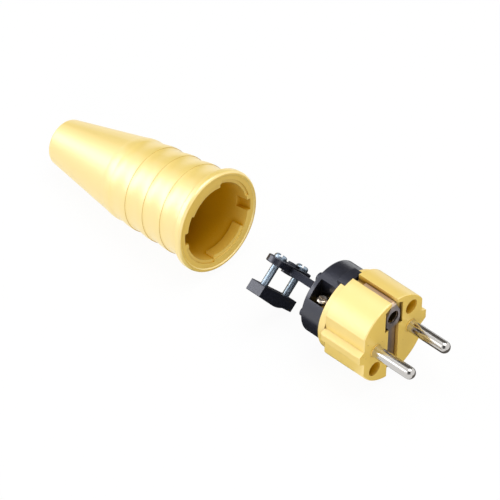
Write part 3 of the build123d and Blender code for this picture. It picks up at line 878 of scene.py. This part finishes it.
def seen_directly(nodes, link):
    """1 for a camera, glossy or transmission ray, else 0."""
    rays = nodes.new("ShaderNodeLightPath").outputs
    direct = calculate(nodes, link, "MAXIMUM", rays["Is Camera Ray"], rays["Is Glossy Ray"])
    return calculate(nodes, link, "MAXIMUM", direct, rays["Is Transmission Ray"])


def floor_material():
    """White to the camera and to reflections, with a share of plain sheet that takes shadow."""
    material = bpy.data.materials.new("white_sheet")
    material.use_nodes = True
    nodes, link = material.node_tree.nodes, material.node_tree.links.new
    nodes.clear()
    sheet = nodes.new("ShaderNodeBsdfDiffuse")
    sheet.inputs["Color"].default_value = SHEET_WHITE
    glow = nodes.new("ShaderNodeEmission")
    mix = nodes.new("ShaderNodeMixShader")
    surface = nodes.new("ShaderNodeOutputMaterial")
    direct = seen_directly(nodes, link)
    link(calculate(nodes, link, "MULTIPLY", direct, 1.0 - SHEET_SHARE), mix.inputs["Fac"])
    link(sheet.outputs[0], mix.inputs[1])
    link(glow.outputs[0], mix.inputs[2])
    link(mix.outputs[0], surface.inputs["Surface"])
    return material


def flat_sheet(name, half_width, half_height, level, finish):
    """A flat sheet with four corners, level with the ground."""
    corners = [(-1, -1), (1, -1), (1, 1), (-1, 1)]
    places = [(x * half_width, y * half_height, level) for x, y in corners]
    mesh = bpy.data.meshes.new(name)
    mesh.from_pydata(places, [], [(0, 1, 2, 3)])
    mesh.materials.append(finish)
    sheet = bpy.data.objects.new(name, mesh)
    bpy.context.scene.collection.objects.link(sheet)
    return sheet


floor = flat_sheet("floor", FLOOR_HALF_SIZE, FLOOR_HALF_SIZE, lowest, floor_material())
print("floor at", round(lowest * 1000, 2), "mm")

# %% [markdown]
# The world gives the even part of the light. Directly seen it is white, like the sheet. The mix of
# the two strengths keeps the background white while the light itself can be dimmer.

# %% World
WORLD_LIGHT = 0.58
WHITE = (1.0, 1.0, 1.0, 1.0)


def make_world():
    """Even pale light, and plain white for rays that see it directly."""
    world = bpy.data.worlds.new("studio")
    world.use_nodes = True
    nodes, link = world.node_tree.nodes, world.node_tree.links.new
    nodes.clear()
    even = nodes.new("ShaderNodeBackground")
    even.inputs["Color"].default_value = WHITE
    even.inputs["Strength"].default_value = WORLD_LIGHT
    white = nodes.new("ShaderNodeBackground")
    white.inputs["Color"].default_value = WHITE
    mix = nodes.new("ShaderNodeMixShader")
    surface = nodes.new("ShaderNodeOutputWorld")
    link(seen_directly(nodes, link), mix.inputs["Fac"])
    link(even.outputs[0], mix.inputs[1])
    link(white.outputs[0], mix.inputs[2])
    link(mix.outputs[0], surface.inputs["Surface"])
    bpy.context.scene.world = world


make_world()
print("world light", WORLD_LIGHT)

# %% [markdown]
# Three soft boxes light the plug: a large one from the left, one from above and a weaker one from
# the right. A lamp's size sets how soft the shading is, so all three are large next to the plug. A
# fourth one stands at the first and lights the sheen only, so that the pale yellow shines white
# without being overexposed. Each row has a name, a place, a width, a height and a power in watts.

# %% Lamps
PLUG_MIDDLE = (-0.07, 0.0, 0.0)
SHEEN_ONLY = "sheen"
LAMPS = (
    ("key", (-0.84, -0.56, 0.48), 1.0, 0.62, 2.7),
    (SHEEN_ONLY, (-0.86, -0.58, 0.49), 1.0, 0.62, 2.8),
    ("top", (0.0, 0.16, 0.95), 0.7, 0.7, 4.8),
    ("front", (0.62, -0.75, 0.42), 0.5, 0.5, 2.7),
)


def place_and_aim(thing, place, target):
    """Put a lamp or a sheet at a place and turn it towards a target."""
    thing.location = place
    thing.rotation_euler = (Vector(target) - Vector(place)).to_track_quat("-Z", "Y").to_euler()


def soft_box(name, place, width, height, power):
    """A flat area lamp at a place, turned towards the plug."""
    lamp = bpy.data.lights.new(name, "AREA")
    lamp.shape = "RECTANGLE"
    lamp.size = width
    lamp.size_y = height
    lamp.energy = power
    box = bpy.data.objects.new(name, lamp)
    bpy.context.scene.collection.objects.link(box)
    place_and_aim(box, place, PLUG_MIDDLE)
    box.visible_diffuse = name != SHEEN_ONLY


for lamp_row in LAMPS:
    soft_box(*lamp_row)
print("lamps:", [lamp.name for lamp in bpy.data.lights])

# %% [markdown]
# Polished metal only looks like metal when it has something dark to mirror. A grey card beyond the
# plug gives the pins their grey edge, and a dark one beside the camera gives the dark spot on their
# round tips. Two more lie on the floor near the plug as a painted shadow: they stand for the floor
# in the plug's own shade, so that the faces and the strip don't mirror it as white. The camera
# doesn't see them and they cast no shadow.

# %% Dark and grey cards
CARD_ROUGHNESS = 0.9
CARD_LIFT = 0.0005

card_black = plain_material("card_black", screen_colour(40, 40, 44), CARD_ROUGHNESS)[0]
card_grey = plain_material("card_grey", screen_colour(98, 94, 90), CARD_ROUGHNESS)[0]


def card(name, place, target, width, height, finish):
    """A dark or grey sheet that only mirroring surfaces see."""
    sheet = flat_sheet(name, width / 2, height / 2, 0.0, finish)
    place_and_aim(sheet, place, target)
    sheet.visible_camera = False
    sheet.visible_diffuse = False
    sheet.visible_shadow = False
    sheet.visible_transmission = False


def floor_shadow_card(name, middle, width, length, finish):
    """A card that lies just over the floor, a painted shadow that only reflections see."""
    card(name, (*middle, lowest + CARD_LIFT), (*middle, -1.0), width, length, finish)


card("far_card", (-0.46, 0.56, 0.52), (0, 0, 0), 1.05, 0.95, card_grey)
card("near_card", (0.42, -0.62, 0.57), (0, 0, 0), 0.95, 0.95, card_black)
# Painted shadow: the two floor cards stand for the floor in the plug's shade.
floor_shadow_card("under_shadow_card", (-0.05, 0.02), 0.08, 0.11, card_black)
floor_shadow_card("front_shadow_card", (0.035, 0.05), 0.09, 0.12, card_grey)
print("cards see only reflections")

# %% [markdown]
# The camera stands where the photograph was taken from. Its place and turn were found by laying the
# edges of the solids over the photograph: it looks down at about 43 degrees from the right front,
# from far away through a long lens, so the shapes barely narrow with distance. Colours are shown as
# they are, without a film look.

# %% Camera
CAMERA_PLACE = (0.790645, -0.943753, 1.173869)
CAMERA_RIGHT = Vector((0.725853, 0.687576, 0.019383))
CAMERA_DOWN = Vector((0.476177, -0.481951, -0.735513))
CAMERA_LENS = 334.94
CAMERA_SENSOR = 36.0
CAMERA_REACH = 20.0


def make_camera():
    """A long lens at the photograph's viewing angle."""
    camera = bpy.data.objects.new("camera", bpy.data.cameras.new("camera"))
    bpy.context.scene.collection.objects.link(camera)
    up = -CAMERA_DOWN
    back = CAMERA_RIGHT.cross(up)
    turn = Matrix((CAMERA_RIGHT, up, back)).transposed()
    camera.matrix_world = Matrix.Translation(CAMERA_PLACE) @ turn.to_4x4()
    camera.data.lens = CAMERA_LENS
    camera.data.sensor_width = CAMERA_SENSOR
    camera.data.clip_end = CAMERA_REACH
    bpy.context.scene.camera = camera
    print("camera lens", CAMERA_LENS, "mm")


make_camera()
bpy.context.scene.view_settings.view_transform = "Standard"
